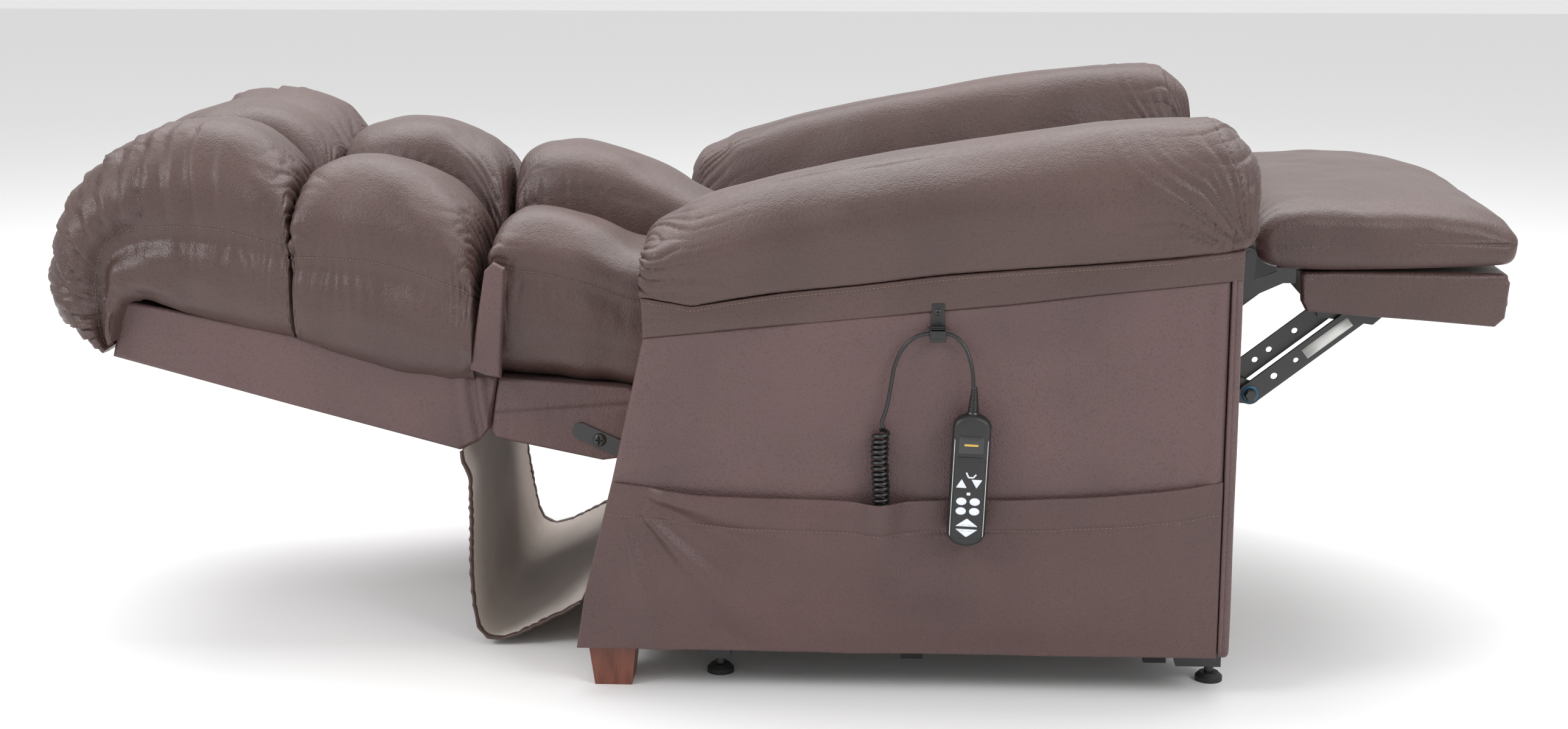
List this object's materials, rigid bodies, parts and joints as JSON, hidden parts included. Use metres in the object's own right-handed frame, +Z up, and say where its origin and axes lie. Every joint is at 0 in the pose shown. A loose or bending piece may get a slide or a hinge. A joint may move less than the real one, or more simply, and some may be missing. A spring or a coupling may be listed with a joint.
{
  "type": "power lift recliner armchair",
  "caption": "Padded power lift recliner with rolled arms, channelled back, folding footrest, side pockets and a corded handset, stored fully reclined.",
  "frame": {"origin": "on the floor under the middle of the chair's length and width, at the level of the foot pads", "axes": "+X towards the feet, +Z up, the handset side is -Y"},
  "size_m": [1.863, 0.9233, 0.702],
  "materials": {
    "steel_black": "satin black",
    "rod_steel": "bright",
    "cover_leather": "fine pebble grain, soft sheen",
    "foam": "leather-covered foam",
    "wood_board": "raw board",
    "wood_stained": "reddish brown stain",
    "rubber_black": "matte",
    "plastic_black": "satin",
    "key_white": "satin",
    "drape_fabric": "plain weave lining",
    "bolt_blue": "zinc with a blue washer",
    "screw_steel": "zinc"
  },
  "bodies": {
    "floor_frame": {"base_rails": "steel_black", "base_cross_tubes": "steel_black", "base_brackets": "steel_black", "foot_pads": "rubber_black", "foot_posts": "steel_black", "base_buffers": "rubber_black", "lift_motor": "plastic_black"},
    "front_lift": {"front_lift_arms": "steel_black"},
    "rear_lift": {"rear_lift_arms": "steel_black"},
    "lift_drive_rod": {"lift_rod": "rod_steel"},
    "chair_body": {"chassis_side_plates": "steel_black", "chassis_cross_tubes": "steel_black", "back_hinge_posts": "steel_black", "pad_hinge_plates": "steel_black", "arm_inner_panels": "wood_board", "arm_end_boards": "wood_board", "side_panels": "cover_leather", "side_pockets": "cover_leather", "arm_front_facings": "cover_leather", "arm_pads": "foam", "wooden_legs": "wood_stained", "rear_stretcher": "wood_board", "seat_frame": "wood_board", "seat_cushion": "foam", "control_box": "plastic_black", "back_motor": "plastic_black", "foot_motor": "plastic_black", "handset_clip": "plastic_black", "clip_screw": "screw_steel", "cord_grommet": "rubber_black", "cord_tube": "rubber_black", "cord_coil": "rubber_black"},
    "backrest": {"back_shell": "foam", "head_cushions": "foam", "middle_cushions": "foam", "lumbar_cushions": "foam", "back_hinge_arms": "steel_black", "bracket_bolts": "screw_steel", "back_drape": "drape_fabric"},
    "back_drive_rod": {"back_rod": "rod_steel"},
    "foot_crank": {"foot_cranks": "steel_black"},
    "foot_drive_rod": {"foot_rod": "rod_steel"},
    "foot_lower": {"foot_lower_links": "steel_black", "foot_link_bolts": "bolt_blue"},
    "foot_upper": {"foot_upper_links": "steel_black"},
    "footboard": {"footboard": "foam", "footboard_brackets": "steel_black"},
    "chaise": {"chaise_pad": "foam", "pad_hinge_arms": "steel_black"},
    "handset": {"handset_shell": "plastic_black", "handset_keypad": "plastic_black", "cord_drop": "rubber_black"},
    "arrow_up_key": {"arrow_up_key": "key_white"},
    "arrow_down_key": {"arrow_down_key": "key_white"},
    "memory_key_1": {"memory_key_1": "key_white"},
    "memory_key_2": {"memory_key_2": "key_white"},
    "memory_key_3": {"memory_key_3": "key_white"},
    "memory_key_4": {"memory_key_4": "key_white"},
    "rise_key": {"rise_key": "key_white"},
    "recline_key": {"recline_key": "key_white"}
  },
  "joints": [
    {"name": "lift", "type": "hinge", "parent": "floor_frame", "child": "front_lift", "pos_m": [0.111, 0, 0.09], "axis": [0, -1, 0], "range_deg": [0, 38.2]},
    {"name": "lift_tilt", "type": "hinge", "parent": "front_lift", "child": "chair_body", "pos_m": [0.391, 0, 0.134], "axis": [0, 1, 0], "range_deg": [0, 62.21]},
    {"name": "rear_lift_swing", "type": "hinge", "parent": "floor_frame", "child": "rear_lift", "pos_m": [-0.022, 0, 0.09], "axis": [0, -1, 0], "range_deg": [0, 32.71]},
    {"name": "lift_rod_slide", "type": "slide", "parent": "floor_frame", "child": "lift_drive_rod", "axis": [-0.9797, 0, 0.2006], "range_m": [0, 0.059]},
    {"name": "back_recline", "type": "hinge", "parent": "chair_body", "child": "backrest", "pos_m": [-0.12, 0, 0.42], "axis": [0, 1, 0], "range_deg": [0, 62], "deforming": ["back_drape"]},
    {"name": "back_rod_slide", "type": "slide", "parent": "chair_body", "child": "back_drive_rod", "axis": [-0.9785, 0, 0.2063], "range_m": [0, 0.0824]},
    {"name": "footrest_fold", "type": "hinge", "parent": "chair_body", "child": "foot_crank", "pos_m": [0.46, 0, 0.4], "axis": [0, 1, 0], "range_deg": [0, 90]},
    {"name": "foot_rod_slide", "type": "slide", "parent": "chair_body", "child": "foot_drive_rod", "axis": [0.9579, 0, 0.2872], "range_m": [-0.0849, 0]},
    {"name": "lower_link_pivot", "type": "hinge", "parent": "foot_crank", "child": "foot_lower", "pos_m": [0.618, 0, 0.34], "axis": [0, 1, 0], "range_deg": [-94.1, 0]},
    {"name": "upper_link_pivot", "type": "hinge", "parent": "foot_crank", "child": "foot_upper", "pos_m": [0.578, 0, 0.344], "axis": [0, 1, 0], "range_deg": [-94.1, 0]},
    {"name": "footboard_pivot", "type": "hinge", "parent": "foot_lower", "child": "footboard", "pos_m": [0.75534, 0, 0.44846], "axis": [0, 1, 0], "range_deg": [0, 94.1]},
    {"name": "chaise_hinge", "type": "hinge", "parent": "chair_body", "child": "chaise", "pos_m": [0.606, 0, 0.525], "axis": [0, 1, 0], "range_deg": [0, 90.1]},
    {"name": "handset_swing", "type": "hinge", "parent": "chair_body", "child": "handset", "pos_m": [0.2165, -0.453, 0.459], "axis": [-1, 0, 0], "range_deg": [0, 70]},
    {"name": "arrow_up_key_press", "type": "slide", "parent": "handset", "child": "arrow_up_key", "axis": [0, 1, 0], "range_m": [0, 0.0012], "stiffness_N_per_m": 200},
    {"name": "arrow_down_key_press", "type": "slide", "parent": "handset", "child": "arrow_down_key", "axis": [0, 1, 0], "range_m": [0, 0.0012], "stiffness_N_per_m": 200},
    {"name": "memory_key_1_press", "type": "slide", "parent": "handset", "child": "memory_key_1", "axis": [0, 1, 0], "range_m": [0, 0.0012], "stiffness_N_per_m": 200},
    {"name": "memory_key_2_press", "type": "slide", "parent": "handset", "child": "memory_key_2", "axis": [0, 1, 0], "range_m": [0, 0.0012], "stiffness_N_per_m": 200},
    {"name": "memory_key_3_press", "type": "slide", "parent": "handset", "child": "memory_key_3", "axis": [0, 1, 0], "range_m": [0, 0.0012], "stiffness_N_per_m": 200},
    {"name": "memory_key_4_press", "type": "slide", "parent": "handset", "child": "memory_key_4", "axis": [0, 1, 0], "range_m": [0, 0.0012], "stiffness_N_per_m": 200},
    {"name": "rise_key_press", "type": "slide", "parent": "handset", "child": "rise_key", "axis": [0, 1, 0], "range_m": [0, 0.0012], "stiffness_N_per_m": 200},
    {"name": "recline_key_press", "type": "slide", "parent": "handset", "child": "recline_key", "axis": [0, 1, 0], "range_m": [0, 0.0012], "stiffness_N_per_m": 200}
  ],
  "couplings": [
    {"joint": "lift_tilt", "follows": "lift", "ratio": 1.6283},
    {"joint": "rear_lift_swing", "follows": "lift", "ratio": 0.85602},
    {"joint": "lift_rod_slide", "follows": "lift", "m_per_rad": 0.08831},
    {"joint": "back_rod_slide", "follows": "back_recline", "m_per_rad": 0.07606},
    {"joint": "foot_rod_slide", "follows": "footrest_fold", "m_per_rad": -0.05399},
    {"joint": "lower_link_pivot", "follows": "footrest_fold", "ratio": -1.0444},
    {"joint": "upper_link_pivot", "follows": "footrest_fold", "ratio": -1.0444},
    {"joint": "footboard_pivot", "follows": "footrest_fold", "ratio": 1.0444},
    {"joint": "chaise_hinge", "follows": "footrest_fold", "ratio": 1}
  ]
}
